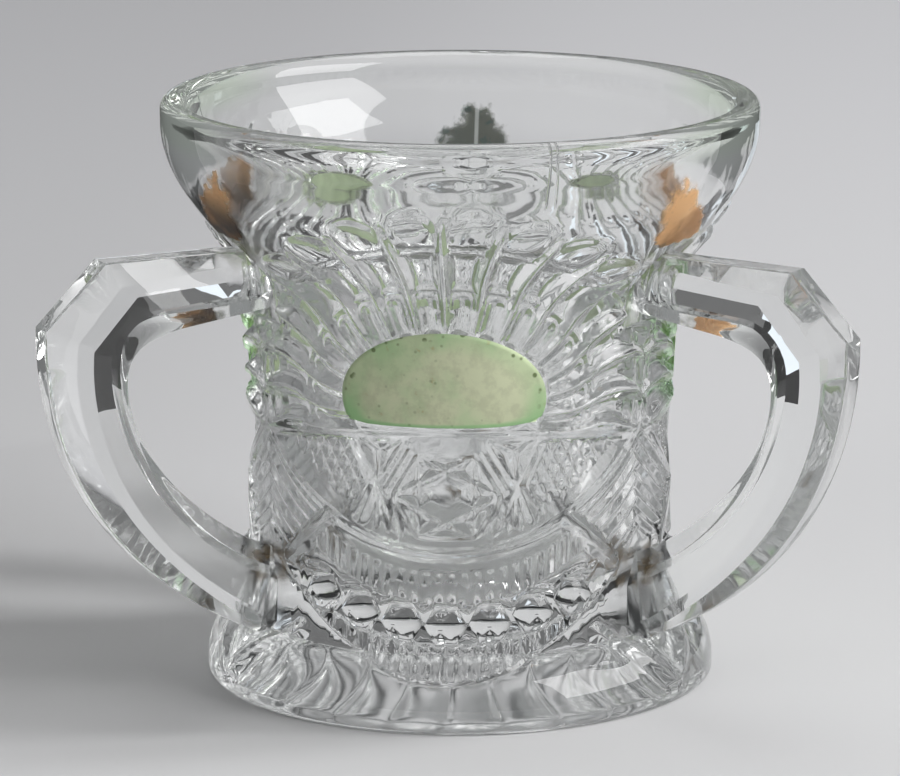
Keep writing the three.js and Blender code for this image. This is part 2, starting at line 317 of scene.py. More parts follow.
glassLook = {
    "tint": (0.985, 0.992, 0.988),
    "lip": (0.90, 1.0, 0.86),
    "washed": (0.36, 0.80, 0.28),      # stain that ran past the ends of the side suns
    "stained": (0.73, 0.88, 0.55),     # the skin under the stained suns, which shows from inside
    "brown": (0.16, 0.11, 0.05),       # dirt in the handles' lower joints
    "olive": (0.20, 0.24, 0.12),       # and where the handles leave the flare
    "lostRayGlow": (0.25, 0.26, 0.26),        # painted light: the grey glow that a ray shows in place of black when it goes round inside the glass for too long: after so many reflections, or so many turns in all
    "lostAfter": (3.5, 10.5),          # after so many reflections, or so many turns in all
    "ior": 1.52,
    "roughness": 0.012,
    "noise": {"rough": (90.0, 4.0), "ripple": (260.0, 2.0, 0.4), "grime": (520.0, 5.0)},
    "roughWhere": (0.45, 0.75),
    "rougher": {"bore": 0.12, "flare": 0.04, "stand": 0.06, "joint": 0.13},
    "ripple": {"strength": 0.35, "depth": 0.00002},
    "seamRidge": {"strength": 0.8, "depth": 0.00012},
    "seamAt": 21.6,                    # degrees round from the front
    "washedAt": 88.0,
    "sun": (9.9, 6.5, 33.2),           # half width, half height and height of the green skin in mm
    "flareSlope": (42.0, 0.52),        # from this height the wall inside widens by this share
}
# Zones of the glass: each value fades in over the first pair and out over the second, lengths in mm
glassZones = {
    "bore": {"radius": (None, (19.0, 19.6)), "z": ((6.0, 9.0), (40.5, 42.5))},
    "flare": {"fromFlare": (None, (20.0, 20.8)), "z": ((40.5, 42.5), (55.0, 57.0))},
    "stand": {"z": (None, (1.0, 1.8))},
    "joint": {"handle": ((0.80, 0.93), None), "z": ((6.0, 8.0), (15.0, 17.5)),
              "radius": (None, (24.0, 26.2))},
    "lowDirt": {"handle": ((0.82, 0.95), None), "z": ((11.5, 13.0), (14.0, 16.2)),
                "radius": (None, (23.2, 25.6)), "grime": ((0.42, 0.60), None)},
    "highDirt": {"handle": ((0.55, 0.95), None), "z": ((44.0, 46.0), (47.0, 49.0)),
                 "radius": ((20.5, 22.5), (25.5, 29.0)), "grime": ((0.42, 0.62), None)},
    "seam": {"fromSeam": (None, (0.0, 0.22)), "z": ((53.5, 54.5), None), "y": (None, (0.0, 10.0))},
    "sun": {"fromSun": (None, (0.96, 1.0)), "z": ((30.6, 30.8), None), "radius": ((20.5, 20.7), None)},
    "lip": {"z": ((55.5, 57.5), None), "side": ((20.0, 27.0), None)},
    "washed": {"fromEnd": (None, (0.12, 0.30)), "z": ((27.5, 29.5), (36.5, 39.0)),
               "radius": ((20.3, 21.0), None)},
}


def zoneShare(places, limits):
    share = 1.0
    for name, (fadeIn, fadeOut) in limits.items():
        if fadeIn:
            share = share * places[name].ramp(*fadeIn)
        if fadeOut:
            share = share * (1 - places[name].ramp(*fadeOut))
    return share


def glassPlaces(board):
    # two noises, and every value that a zone of the glass may name
    place, x, y, z = board.places()
    rough, ripple, grime = board.noises(place, glassLook["noise"])
    radius = (x * x + y * y).power(0.5)
    angle = x.turnFrom(0 - y)
    third = 2 * math.pi / 3
    halfWidth, halfHeight, height = glassLook["sun"]
    across = (angle - (angle / third).rounded() * third) * radius / halfWidth
    rise = (z - height) / halfHeight
    flareFrom, slope = glassLook["flareSlope"]
    return rough, ripple, {
        "y": y, "z": z, "radius": radius, "side": x.size(), "grime": grime,
        "fromFlare": radius - (z - flareFrom) * slope,
        "handle": (angle * 3 - math.pi).cosine(),
        "fromSeam": ((angle - math.radians(glassLook["seamAt"])) * 1.5).sine().size() * radius,
        "fromSun": across * across + rise * rise,
        "fromEnd": (angle.size() - math.radians(glassLook["washedAt"])).size()}


def makeGlass():
    material, board = newMaterial("pressedGlass")
    noise, waves, places = glassPlaces(board)
    zone = {name: zoneShare(places, limits) for name, limits in glassZones.items()}
    rough = noise.ramp(*glassLook["roughWhere"]) * glassLook["roughness"]
    for name, value in glassLook["rougher"].items():
        rough = rough + zone[name] * value
    ripple, ridge = glassLook["ripple"], glassLook["seamRidge"]
    rippled = board.bump(waves, **ripple)
    raised = board.bump(zone["seam"], **ridge, Normal=rippled)
    tinted = board.layers(
        glassLook["tint"], (zone["lip"], glassLook["lip"]), (zone["washed"], glassLook["washed"]))
    clear = board.surface(tinted, rough, IOR=glassLook["ior"], Transmission_Weight=1.0, Normal=raised)
    dirt = board.surface(board.mixColours(zone["highDirt"], glassLook["brown"], glassLook["olive"]), 0.8)
    soiled = board.mixShaders((zone["lowDirt"] * 0.8 + zone["highDirt"] * 0.5).least(1.0), clear, dirt)
    skinned = board.mixShaders(zone["sun"], soiled, board.surface(glassLook["stained"], 0.7))
    # painted light: where a ray is lost inside the glass, the glass glows grey instead of going black
    reflections = board.add("ShaderNodeLightPath", out="Glossy Depth")
    turns = board.add("ShaderNodeLightPath", out="Ray Depth")
    lostRayGlow = reflections.above(glassLook["lostAfter"][0]).most(turns.above(glassLook["lostAfter"][1]))
    board.close(board.mixShaders(lostRayGlow, skinned, board.light(glassLook["lostRayGlow"], 1.0)))
    material.cycles.emission_sampling = "NONE"
    return material


stainLook = {
    "pale": (0.67, 0.71, 0.48),
    "cloudy": (0.55, 0.58, 0.39),
    "green": (0.36, 0.60, 0.29),
    "amber": (0.42, 0.30, 0.08),
    "speck": (0.10, 0.15, 0.04),
    "lowest": (30.5, 35.0),    # mm: the stain is greener towards the horizon
    "noise": {"cloud": (170.0, 5.0), "blot": (650.0, 4.0, 0.65), "grain": (2600.0, 2.0)},
    "grain": {"strength": 0.25, "depth": 0.00003},
    "specks": (900.0, 0.08, 0.18),    # scale, and how they fade out
    "beads": (1050.0, 0.20, 0.34),    # along the upper edge
}


def makeStain():
    material, board = newMaterial("greenStain")
    place, _, _, z = board.places()
    low = 1 - z.ramp(*stainLook["lowest"])
    edge = board.attribute("edge")
    cloud, blot, grain = board.noises(place, stainLook["noise"])
    greener = edge.ramp(0.25, 1.0) * (0.30 + low * 0.70) + cloud.ramp(0.48, 0.66) * 0.35
    rusty = blot.ramp(0.60, 0.70) * cloud.ramp(0.48, 0.60) * 0.55
    fine = board.specks(place, *stainLook["specks"]) * cloud.ramp(0.45, 0.60) * 0.45
    beads = board.specks(place, *stainLook["beads"]) * edge.ramp(0.86, 0.96) * (1 - low) * 0.85
    colour = board.layers(
        stainLook["pale"], (blot.ramp(0.42, 0.62) * 0.75, stainLook["cloudy"]),
        (greener.least(1.0), stainLook["green"]), (rusty, stainLook["amber"]),
        (fine.most(beads), stainLook["speck"]))
    board.close(board.surface(colour, 0.55 + cloud * 0.3, Transmission_Weight=0.15,
                              Specular_IOR_Level=0.35, Normal=board.bump(grain, **stainLook["grain"])))
    return material


giltLook = {
    "gold": (0.88, 0.55, 0.26),
    "brown": (0.52, 0.27, 0.10),
    # painted shade: this green darkens the back patch as if in shadow; on every patch random spots are green
    # too
    "green": (0.030, 0.075, 0.050),
    "darkReflection": (0.06, 0.03, 0.015),   # painted dark reflection, low on the left patch
    "seam": (0.75, 0.78, 0.74),     # where the mould's seam crosses the back patch
    "seamHalf": (0.12, 0.30),       # mm
    "darkReflectionBelow": (49.0, 53.5),
    "darkReflectionLeftOf": (-12.0, -2.0),
    "noise": {"patches": (420.0, 7.0, 0.6), "tone": (180.0, 3.0)},
}


def makeGilt():
    material, board = newMaterial("wornGilt")
    place, x, _, z = board.places()
    wear, shadedBack, aside = (board.attribute(name) for name in ("edge", "shadedBack", "aside"))
    patches, tone = board.noises(place, giltLook["noise"])
    # painted shade: the back patch is dark green and not metallic; random green spots on every patch
    green = (shadedBack * 0.93 + patches.ramp(0.60, 0.70) * 0.5).least(1.0)
    seam = (1 - aside.size().ramp(*giltLook["seamHalf"])) * shadedBack
    # painted reflection: the low end of the left patch is darkened as if it reflected something dark
    darkReflection = (1 - z.ramp(*giltLook["darkReflectionBelow"])) * (1 - x.ramp(*giltLook["darkReflectionLeftOf"]))
    colour = board.layers(
        giltLook["brown"], (tone.ramp(0.40, 0.56), giltLook["gold"]), (green, giltLook["green"]),
        (seam, giltLook["seam"]), (darkReflection * tone.ramp(0.25, 0.50), giltLook["darkReflection"]))
    left = (patches * 1.9 - wear * 1.15).ramp(0.05, 0.55)
    board.close(board.surface(colour, 0.35 + patches * 0.3, Metallic=tone * 0.3 * (1 - shadedBack),
                              Transmission_Weight=0.55, Alpha=left * 0.9))
    return material


glass = makeGlass()
stain = makeStain()
gilt = makeGilt()
print("materials made")

# The cup: its profile from the middle of the underside, out and up, over the lip and down inside

cup = {
    "footRadius": 26.2,
    "footEdge": 1.4,
    "footTop": 7.0,
    "footRound": 0.7,
    "stand": (0.6, 0.9),        # the ring it stands on: in from the hollow and from the foot's edge
    "neckRadius": 22.2,
    "waistRadius": 21.2,
    "shoulder": 42.3,
    "rimRadius": 30.5,
    "height": cadBox[1][2] / mm,
    "lipDepth": 2.4,
    "lipOuterRound": 1.1,
    "lipInnerRound": 1.6,
    "lipWidth": 3.1,
    "swell": (1.3, 3.7),        # pull of the flare's lower end, outwards and upwards
    "browRise": 8.2,
    "insideSwell": (3.7, 8.4),  # the same pulls for the wall inside
    "insideDrop": 2.6,
    "floor": 11.0,
    "cupFloorRadius": 16.2,
    "cupMouthRadius": 18.8,
    "cupCorner": 4.5,
    "mouthDrop": 0.9,
    "hollowRadius": 22.4,       # of the hollow underneath
    "hollowDepth": 0.9,
    "steps": {"hollow": 30, "footEdge": 5, "foot": 60, "body": 240, "flare": 120, "lipOuter": 7,
              "lipInner": 8, "mouth": 30, "wall": 10, "corner": 8, "floor": 7},
    "raysUnder": {"count": 24, "depth": 0.13, "thinness": 1.05, "from": (5.0, 8.0), "to": (0.8, 0.4)},
}
panel = {
    "count": 3,
    "columns": 300,            # fine columns in one panel
    "coarsening": 3,           # fine columns to one coarse column
    "rowStep": 0.15,
    "footSkip": 6,             # one row in so many is kept on the foot
    "rimSkip": 4,              # and on the flare
    "reliefFrom": 1.9,         # height on the foot where the fine band begins
    "reliefTo": 56.0,
    "reliefFade": (0.3, 1.2),
    "rounding": 1,             # passes that round the edges of the pattern
    "triangles": 184500,       # of the cup once it is thinned
}


def bezier(points, steps):
    # a Bezier curve of any degree through steps + 1 places
    share = np.linspace(0, 1, steps + 1)[:, None]
    level = [np.asarray(point, float)[None, :] * np.ones_like(share) for point in points]
    while len(level) > 1:
        level = [a * (1 - share) + b * share for a, b in zip(level, level[1:])]
    return level[0]


def arc(centre, radii, start, end, steps):
    turn = np.radians(np.linspace(start, end, steps + 1))
    return np.stack([centre[0] + radii[0] * np.cos(turn), centre[1] + radii[1] * np.sin(turn)], 1)


def underProfile():
    hollow, edge = cup["hollowRadius"], cup["footRound"]
    middle = np.linspace(0.0, hollow, cup["steps"]["hollow"])
    depth = cup["hollowDepth"] * np.cos(np.clip(middle / hollow, 0, 1) * math.pi / 2) ** 0.5
    ring = [(hollow + cup["stand"][0], 0.0), (cup["footRadius"] - cup["stand"][1], 0.0)]
    bend = arc((cup["footRadius"] - edge, edge), (edge, edge), -90, 0, cup["steps"]["footEdge"])
    return np.vstack([np.stack([middle, depth], 1), ring, bend])


def outerProfile():
    steps = cup["steps"]
    sweep = (cup["footRadius"] - cup["neckRadius"], cup["footTop"] - cup["footEdge"])
    foot = arc((cup["neckRadius"], cup["footEdge"]), sweep, 0, 90, steps["foot"])
    neck = (cup["neckRadius"], cup["footTop"])
    waist = (2 * cup["waistRadius"] - cup["neckRadius"], (cup["footTop"] + cup["shoulder"]) / 2)
    shoulder = (cup["neckRadius"], cup["shoulder"])
    body = bezier([neck, waist, shoulder], steps["body"])
    swell = (cup["neckRadius"] + cup["swell"][0], cup["shoulder"] + cup["swell"][1])
    brow = (cup["rimRadius"], cup["shoulder"] + cup["browRise"])
    rim = (cup["rimRadius"], cup["height"] - cup["lipDepth"])
    flare = bezier([shoulder, swell, brow, rim], steps["flare"])
    return np.vstack([foot, body[1:], flare[1:]])


def insideProfile():
    outward, inward, corner = cup["lipOuterRound"], cup["lipInnerRound"], cup["cupCorner"]
    top, steps = cup["height"], cup["steps"]
    centre = (cup["rimRadius"] - outward, top - outward)
    outerLip = arc(centre, (outward, outward), 0, 90, steps["lipOuter"])
    bottom = (cup["rimRadius"] - cup["lipWidth"], top - cup["lipDepth"] + outward / 2)
    centre = (bottom[0] + inward, bottom[1])
    innerLip = arc(centre, (inward, top - bottom[1]), 90, 180, steps["lipInner"])
    mouth = (cup["cupMouthRadius"], cup["shoulder"] - cup["mouthDrop"])
    low = (mouth[0] + cup["insideSwell"][0], mouth[1] + cup["insideSwell"][1])
    high = (bottom[0], bottom[1] - cup["insideDrop"])
    flare = bezier([bottom, high, low, mouth], steps["mouth"])
    centre = (cup["cupFloorRadius"] - corner, cup["floor"] + corner)
    bend = arc(centre, (corner, corner), 0, -90, steps["corner"])
    wall = bezier([mouth, bend[0]], steps["wall"])
    floor = bezier([bend[-1], (0, cup["floor"])], steps["floor"])
    return np.vstack([outerLip, innerLip[1:], flare[1:], wall[1:], bend[1:], floor[1:]])


outer = outerProfile()
outerClimb = np.concatenate([[0], np.cumsum(np.hypot(*np.diff(outer, axis=0).T))])


def radiusAt(height):
    return np.interp(height, outer[:, 1], outer[:, 0])


def climbAt(height):
    # way up the profile in mm, from the foot's edge
    return np.interp(height, outer[:, 1], outerClimb)


def outerAt(climb):
    return np.interp(climb, outerClimb, outer[:, 0]), np.interp(climb, outerClimb, outer[:, 1])


# The pattern of one panel: heights in mm over the smooth cup, the same on both sides of its middle

sun = {
    "height": 33.2,
    "halfWidth": 10.3,
    "halfHeight": 6.9,
    "relief": 0.5,
    "dome": 0.2,
    "search": (0.05, 60.0, 34),   # rings are looked for between these distances, in so many halvings
}
fan = {
    "sector": 15.0,            # degrees between ribs
    "bend": [(0, 1.0), (3, 0.95), (6, 0.88), (8, 0.87), (11, 0.88), (14, 0.95), (16, 1.02)],
    "ribHalf": (0.40, 0.78),   # at the sun, and from here outwards:
    "ribWideAt": 7.0,
    "ribRelief": 0.95,
    "ribRoot": 0.6,            # share of that relief at the sun
    "ribFullAt": 6.0,
    "ribEnd": 14.7,
    "ribTip": (3.6, 0.7),      # length of the tapering end and power of its taper
    "ribBeside": 9.0,          # how far down the rib's own relief goes beside it
    "petal": {"end": 4.3, "rim": 0.3, "least": 0.2, "share": 0.8, "depth": 0.45, "high": 0.25,
              "slope": 1.5, "ground": 0.2},
    "bar": {"at": 5.1, "high": 0.2, "slope": 0.9},
    "cell": {"depth": 0.15, "hollow": 0.2, "high": 0.1, "slope": 0.9},
    "groove": {"at": 9.2, "depth": 0.15, "half": 0.3},
    "bridge": {"at": 11.0, "half": 0.4, "high": 0.3, "slope": 1.3},
    "lobe": {"from": 11.6, "reach": 4.3, "margin": 0.15, "high": 0.55, "ground": 0.02},
}
# A line of the pattern has its height in the middle and its rise with the square of the way out
horizonLine = {"height": 30.1, "rise": -0.0035, "band": 2.4, "sideBand": 1.2, "bandMargin": 0.9,
               "relief": 0.6, "fall": 0.1, "drop": 3.0, "roll": (0.22, 0.6)}
crescent = {"height": 17.8, "rise": 0.0218, "high": 0.62, "slope": 0.9, "half": 0.33,
            "top": 0.45, "reach": 0.9}
apron = {"height": 5.2, "rise": 0.026, "relief": 0.65, "edge": 0.2}
flutes = {"height": 12.2, "rise": 0.0225, "pitch": 1.25, "low": -0.35, "relief": 0.7}
lowFlutes = {"height": 8.1, "rise": 0.0160, "pitch": 1.35, "low": -0.3, "relief": 0.7}
smoothBand = {"width": 2.3, "relief": 0.14, "high": 0.4, "slope": 1.2, "grooveAt": 1.5,
              "grooveHalf": 0.2, "grooveDepth": 0.10, "bed": -0.15}
cross = {
    "middle": (6.8, 24.2),
    "outerTop": (9.2, 29.4),
    "innerTop": (3.7, 29.4),
    "peak": (6.5, 27.9),        # of the small pyramid between the upper arms
    "feet": [(9.0, 19.5), (7.4, 18.9), (5.8, 18.4), (4.3, 18.1)],
    "slope": 0.45,
    "relief": 0.38,
    "edge": (0.16, 0.28),       # height and half width of the sharp line along each ridge
    "ground": 0.2,
}
hexagon = {"height": 23.3, "halfWidth": 5.1, "corner": (2.7, 4.1), "high": 0.40, "inside": 0.35,
           "step": 0.15, "inner": 0.1}
star = {"relief": 0.36, "slope": 0.5, "middle": 0.15, "fall": 0.12, "low": -0.05, "depth": 0.15}
lattice = {"width": 1.55, "height": 2.7, "high": 0.22, "relief": 0.75, "pit": 2.2, "from": 1.5}
arm = {"high": 0.5, "crest": 0.25, "low": 0.3, "ground": 0.25, "edge": 0.4, "edgeAt": 0.7, "lean": 0.45}
brace = {"low": (18.3, 15.3), "high": (12.3, 20.7), "halfWidth": 0.5, "relief": 0.6,
         "fade": (15.6, 16.6), "mitre": 1.35, "mitreLow": -0.2, "mitreRelief": 0.5}
toes = {"top": (42.0, 8.2), "point": (59.3, 2.6), "high": 0.55, "slope": 0.5, "clear": 1.0}
jewel = {
    "count": 7,
    "pitch": 4.45,
    "height": 10.1,
    "rise": 0.0125,
    "half": (2.15, 2.0),
    "corner": 0.52,
    "levels": [(-1.0, 1.0), (0.05, 1.0), (0.4, 0.8), (0.75, 0.5)],   # lift in mm and share of the girdle
    "arch": {"over": 2.45, "bend": 0.18, "high": 0.3, "slope": 1.3},
}
land = {"angle": (50.5, 51.7), "top": 38.6, "bottom": 16.5, "fade": (0.6, 0.4)}   # plain, under the handles


def segmentDistance(x, y, start, end):
    along = np.subtract(end, start)
    share = ((x - start[0]) * along[0] + (y - start[1]) * along[1]) / (along @ along)
    share = np.clip(share, 0, 1)
    return np.hypot(x - start[0] - share * along[0], y - start[1] - share * along[1])


def dome(share):
    # a half round section: 1 in the middle, 0 at 1 and beyond
    return np.sqrt(np.clip(1 - share ** 2, 0, 1))


def tent(share):
    # a section with two flat sides and an edge in the middle
    return np.clip(1 - np.abs(share), 0, 1)


def roof(form, away):
    # a ridge with two flat sides, at this distance from its top
    return form["high"] - form["slope"] * np.abs(away)


def wave(share):
    # 0 halfway between whole numbers, 1 on each
    return np.abs(share % 1 - 0.5) * 2


def blendIn(value, low, high):
    share = np.clip((value - low) / (high - low), 0, 1)
    return share * share * (3 - 2 * share)


def lineAt(line, x):
    return line["height"] + line["rise"] * x ** 2


def fromLine(line, x, height):
    return (height - lineAt(line, x)) / np.hypot(1, 2 * line["rise"] * x)


def sunRings(x, climb):
    # distance out from the edge of the sun and the turn of the ellipse through each point
    nearest, farthest, halvings = sun["search"]
    low = np.full_like(x, -sun["halfHeight"] + nearest)
    high = np.full_like(x, farthest)
    for _ in range(halvings):
        middle = (low + high) / 2
        outside = ((x / (sun["halfWidth"] + middle)) ** 2
                   + (climb / (sun["halfHeight"] + middle)) ** 2) > 1
        low = np.where(outside, middle, low)
        high = np.where(outside, high, middle)
    ring = (low + high) / 2
    turn = np.arctan2(climb / (sun["halfHeight"] + ring), x / (sun["halfWidth"] + ring))
    return ring, turn


def sunLift(ring):
    return sun["relief"] + sun["dome"] * np.clip(1 - (1 + ring / sun["halfHeight"]) ** 2, 0, 1)


def ribRelief(ring, fromRib):
    # the rib's relief, far below the rest beside it, and its half width
    inner, wide = fan["ribHalf"]
    length, taper = fan["ribTip"]
    half = inner + (wide - inner) * np.clip(ring / fan["ribWideAt"], 0, 1)
    tip = np.clip((fan["ribEnd"] - ring) / length, 0, 1)
    half = half * tip ** taper + 1e-6
    grown = fan["ribRoot"] + (1 - fan["ribRoot"]) * np.clip(ring / fan["ribFullAt"], 0, 1)
    high = fan["ribRelief"] * grown * np.sqrt(tip)
    across = (dome(fromRib / half) + tent(fromRib / half)) / 2
    return high * across - (fromRib > half) * fan["ribBeside"], half


def fanRelief(x, climb):
    ring, turn = sunRings(x, climb)
    sector = math.radians(fan["sector"])
    bend = np.interp(ring, *zip(*fan["bend"]))    # the ribs lean outwards towards their tips
    across = (math.pi / 2 - turn) / bend
    stretch = bend * np.hypot((sun["halfWidth"] + ring) * np.sin(turn),
                              (sun["halfHeight"] + ring) * np.cos(turn))
    fromRib = np.abs((across + sector / 2) % sector - sector / 2) * stretch
    fromMiddle = np.abs(across % sector - sector / 2) * stretch
    sectorHalf = sector / 2 * stretch
    ribs, ribHalf = ribRelief(ring, fromRib)

    # one arched petal between two ribs, with a raised outline and a groove inside
    petal, bar, cell, groove, bridge, lobe = (
        fan[name] for name in ("petal", "bar", "cell", "groove", "bridge", "lobe"))
    petalHalf = np.clip(sectorHalf - ribHalf, petal["least"], None) * petal["share"]
    archFrom = petal["end"] - petalHalf
    fromArch = np.hypot(fromMiddle, np.clip(ring - archFrom, 0, None)) - petalHalf
    hollow = -petal["depth"] * np.clip(-fromArch / petalHalf, 0, 1)
    petals = np.where(fromArch < 0, hollow, -petal["ground"])
    petals = np.maximum(petals, roof(petal, fromArch))
    # then a bar, a cell with a groove across it, a bridge and a round lobe
    bars = roof(bar, ring - bar["at"])
    cellMiddle = (bar["at"] + bridge["at"]) / 2
    cellHalf = (bridge["at"] - bar["at"]) / 2
    cells = -cell["depth"] - cell["hollow"] * (1 - ((ring - cellMiddle) / cellHalf) ** 2)
    cells = cells - groove["depth"] * tent((ring - groove["at"]) / groove["half"])
    cells = np.maximum(cells, cell["high"] - (sectorHalf - ribHalf - fromMiddle) * cell["slope"])
    bridges = roof(bridge, np.clip(np.abs(ring - bridge["at"]) - bridge["half"], 0, None))
    lobeShare = ((fromMiddle / (sectorHalf - lobe["margin"])) ** 2
                 + ((ring - lobe["from"]) / lobe["reach"]) ** 2)
    lobes = lobe["high"] * np.sqrt(np.clip(1 - lobeShare, 0, 1)) - lobe["ground"] * (lobeShare > 1)

    between = np.where(ring < petal["end"] + petal["rim"], petals, cells)
    between = np.where(ring > lobe["from"], lobes, np.maximum(between, np.maximum(bars, bridges)))
    return np.where(ring > 0, np.maximum(ribs, between), sunLift(ring))


def ridges(x, y, lines, high, slope):
    # sharp ridges along straight lines, falling away on both sides
    nearest = np.min([segmentDistance(x, y, *line) for line in lines], axis=0)
    return high - slope * nearest + cross["edge"][0] * tent(nearest / cross["edge"][1])


def hexagonEdge(x, y):
    # signed distance from the hexagon's edge, negative inside
    side = hexagon["halfWidth"] - hexagon["corner"][0]
    tall = hexagon["corner"][1]
    return np.maximum(np.abs(y) - tall,
                      ((x - hexagon["halfWidth"]) * tall + np.abs(y) * side) / math.hypot(side, tall))


def starRelief(x, y):
    # the six short diagonals of the hexagon cross to a star
    half, (cornerX, cornerY) = hexagon["halfWidth"], hexagon["corner"]
    lines = [((cornerX, -cornerY), (cornerX, cornerY))]
    for up in (-1, 1):
        lines += [((half, 0), (-cornerX, up * cornerY)), ((-half, 0), (cornerX, up * cornerY))]
    inner = star["middle"] - star["fall"] * np.hypot(x, y)
    return np.maximum(ridges(x, y, lines, star["relief"], star["slope"]),
                      np.minimum(inner, star["low"]) - star["depth"])


def halfway(*points):
    return tuple(np.sum(points, axis=0) / len(points))


def crossRelief(x, height):
    middle, inner, outerTop, peak = (cross[name] for name in ("middle", "innerTop", "outerTop", "peak"))
    corner = (hexagon["corner"][0], hexagon["height"] + hexagon["corner"][1])
    side = (hexagon["halfWidth"], hexagon["height"])
    lines = [(middle, inner), (side, corner), (middle, outerTop),
             (halfway(middle, side), halfway(inner, corner))]
    lines += [(middle, foot) for foot in cross["feet"]] + [(side, cross["feet"][-1])]
    lines += [(peak, middle), (peak, inner), (peak, outerTop)]
    return ridges(x, height, lines, cross["relief"], cross["slope"])


def latticeRelief(x, height):
    # a net of thin ridges holds small pits
    cellX, cellY = x / lattice["width"], height / lattice["height"]
    toRidge = np.minimum(np.abs((cellX + cellY + 0.5) % 1 - 0.5),
                         np.abs((cellX - cellY + 0.5) % 1 - 0.5))
    return lattice["high"] - lattice["relief"] * dome(1 - np.clip(toRidge * lattice["pit"], 0, 1))


def sashRelief(x, height):
    # between the horizon and the crescent: the hexagon, the crosses and, outside them, the lattices
    fromCrescent = fromLine(crescent, x, height)
    y = height - hexagon["height"]
    fromHexagon = hexagonEdge(x, y)
    middle, slope, start = cross["middle"], cross["slope"], lattice["from"]
    made = np.maximum(crossRelief(x, height), hexagon["high"] - slope * np.abs(fromHexagon))
    made = np.maximum(made, -cross["ground"])

    fromArms = np.minimum(segmentDistance(x, height, middle, cross["outerTop"]),
                          segmentDistance(x, height, middle, cross["feet"][0]))
    arms = np.maximum(arm["high"] - slope * np.abs(fromArms - arm["crest"]),
                      arm["low"] - slope * np.abs(fromArms - start))
    outside = np.where(fromArms > start, latticeRelief(x, height), np.maximum(arms, -arm["ground"]))
    edge = arm["edge"] - slope * np.clip(fromCrescent - arm["edgeAt"], 0, None)
    beyond = (x - middle[0]) > np.abs(height - middle[1]) * arm["lean"]
    made = np.where(beyond, np.maximum(outside, edge), made)
    inside = np.maximum(starRelief(x, y), hexagon["inside"] - slope * np.abs(fromHexagon + hexagon["step"]))
    return np.where(fromHexagon < -hexagon["inner"], inside, made)


def bandUnder(x):
    # depth of the smooth band under the horizon, widest over the hexagon
    wide = hexagon["corner"][0] + horizonLine["bandMargin"]
    return horizonLine["sideBand"] + (horizonLine["band"] - horizonLine["sideBand"]) * (x < wide)


def bandRelief(height, x):
    # the smooth horizon band, with its crest along the top
    down = lineAt(horizonLine, x) - height
    roll, reach = horizonLine["roll"]
    crest = horizonLine["relief"] + roll * np.clip(1 - down / reach, 0, 1)
    crest = crest - horizonLine["fall"] * np.clip(down, 0, None)
    return crest - horizonLine["drop"] * np.clip(-down, 0, None)


def lowerRelief(x, height):
    # under the crescent: a smooth band, flutes, the jewels' bed, more flutes and the apron's edge
    upper, lower = (row["low"] + row["relief"] * dome(1 - wave(x / row["pitch"] + shift))
                    for row, shift in ((flutes, 0), (lowFlutes, 0.5)))
    down = lineAt(crescent, x) - height
    made = np.where(height > lineAt(lowFlutes, x), smoothBand["bed"], lower)
    made = np.where(height > lineAt(flutes, x), upper, made)
    made = np.where(down < smoothBand["width"], smoothBand["relief"], made)
    made = np.maximum(made, roof(smoothBand, down - smoothBand["width"]))
    # the flutes end in small arches over each jewel
    arch = jewel["arch"]
    seat = np.abs((x / jewel["pitch"] + 0.5) % 1 - 0.5) * jewel["pitch"]
    top = lineAt(jewel, x) + arch["over"] - arch["bend"] * seat ** 2
    made = np.maximum(made, roof(arch, height - top))
    return made - smoothBand["grooveDepth"] * tent((down - smoothBand["grooveAt"]) / smoothBand["grooveHalf"])


def outsideRelief(x, height):
    # below the crescent, with a brace on each side and mitred bands beyond it
    (lowX, lowY), (highX, highY) = brace["low"], brace["high"]
    fromBrace = segmentDistance(x, height, brace["low"], brace["high"])
    braces = brace["relief"] - np.clip(fromBrace - brace["halfWidth"], 0, None)
    inFront = lowX - x - (height - lowY) * ((lowX - highX) / (highY - lowY))   # on the panel's side
    mitres = brace["mitreLow"] + brace["mitreRelief"] * wave(fromLine(crescent, x, height) / brace["mitre"])
    made = np.maximum(np.where(inFront < 0, mitres, lowerRelief(x, height)), braces)
    beyond = blendIn(x, *brace["fade"]) * (inFront > 0)
    return made * (1 - beyond) + np.maximum(braces, 0) * beyond


def panelRelief(angle, radius, height, climb):
    x = np.abs(angle) * radius
    horizon, crest = lineAt(horizonLine, x), lineAt(crescent, x)
    upper = fanRelief(x, climb - climbAt(sun["height"]))
    upper = upper * blendIn(climbAt(panel["reliefTo"]) - climb, *panel["reliefFade"])
    relief = np.where(height > horizon - bandUnder(x), bandRelief(height, x), sashRelief(x, height))
    relief = np.where(height > horizon, upper, relief)
    relief = np.where(height < crest, outsideRelief(x, height), relief)

    fromCrescent = np.abs(fromLine(crescent, x, height))
    ridge = roof(crescent, fromCrescent - crescent["half"])
    ridge = np.where(fromCrescent < crescent["half"], crescent["top"], ridge)
    relief = np.where(fromCrescent < crescent["reach"], np.maximum(relief, ridge), relief)

    fromApron = fromLine(apron, x, height)
    under = np.clip(1 + fromApron / apron["edge"], 0, 1) * apron["relief"]
    relief = np.where(fromApron < 0, under, relief)
    toe = [(math.radians(turn) * float(radiusAt(up)), float(climbAt(up)))
           for turn, up in (toes["top"], toes["point"])]
    relief = np.maximum(relief, roof(toes, segmentDistance(x, climb, *toe)))
    relief = np.where(relief < 0, np.where(height < lineAt(apron, x), 0, relief), relief)

    below, above = land["fade"]
    arms = np.maximum(blendIn(height, land["top"] - below, land["top"] + above),
                      1 - blendIn(height, land["bottom"] - below, land["bottom"] + above))
    arms = arms * (height > toes["top"][1] - toes["clear"])
    return relief * (1 - blendIn(np.degrees(np.abs(angle)), *land["angle"]) * arms)


